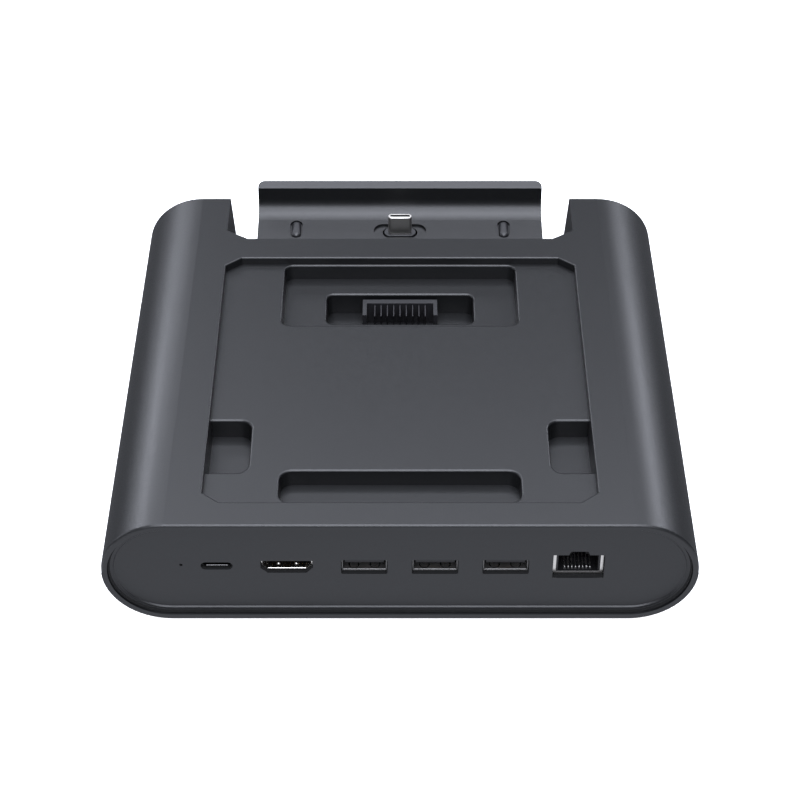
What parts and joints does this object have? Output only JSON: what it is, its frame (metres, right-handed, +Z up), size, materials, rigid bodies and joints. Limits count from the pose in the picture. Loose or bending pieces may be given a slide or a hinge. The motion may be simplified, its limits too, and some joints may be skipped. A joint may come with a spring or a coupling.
{
  "type": "handheld console dock",
  "caption": "Flat round-sided dock with a battery bay on top, ports in a sunk panel at one end, and a lipped cradle with an upright plug at the other, for a handheld console.",
  "frame": {"origin": "middle of the bounding box on the table plane, under the feet", "axes": "+Z up; -Y towards the port panel; +Y towards the cradle; +X to the right when facing the ports"},
  "size_m": [0.175, 0.1826, 0.04],
  "materials": {
    "housing_plastic": "satin moulded, cool dark grey",
    "panel_plastic": "fine matt moulded, dark grey",
    "black_rubber": "soft matt black",
    "boot_plastic": "matt dark grey",
    "black_plastic": "matt black",
    "socket_steel": "bright stamped sheet",
    "gold_plate": "gold plated wire",
    "blade_metal": "tinned blades",
    "board_laminate": "green solder mask",
    "clear_plastic": "clear moulded",
    "lamp_body": "pale lamp body",
    "cable_film": "flat cable film",
    "screw_steel": "dark zinc"
  },
  "bodies": {
    "root": {"battery_blades": "blade_metal", "battery_board": "board_laminate", "battery_connector": "black_plastic", "board_link": "black_plastic", "board_screws": "screw_steel", "bottom_shell": "housing_plastic", "cable_socket_main": "black_plastic", "cable_socket_plug": "black_plastic", "case_screws": "screw_steel", "cradle": "housing_plastic", "cradle_pad_left": "black_rubber", "cradle_pad_right": "black_rubber", "foot_1": "black_rubber", "foot_2": "black_rubber", "foot_3": "black_rubber", "foot_4": "black_rubber", "hub_chip": "black_plastic", "light_pipe": "clear_plastic", "main_board": "board_laminate", "network_contacts": "gold_plate", "network_insert": "black_plastic", "network_shield": "socket_steel", "plug_board": "board_laminate", "plug_boot": "boot_plastic", "plug_cable": "cable_film", "plug_core": "black_plastic", "plug_shell": "socket_steel", "port_panel": "panel_plastic", "status_led": "lamp_body", "top_shell": "housing_plastic", "type_a_insert_1": "black_plastic", "type_a_insert_2": "black_plastic", "type_a_insert_3": "black_plastic", "type_a_shell_1": "socket_steel", "type_a_shell_2": "socket_steel", "type_a_shell_3": "socket_steel", "type_c_insert": "black_plastic", "type_c_shell": "socket_steel", "video_insert": "black_plastic", "video_shell": "socket_steel"}
  },
  "joints": []
}
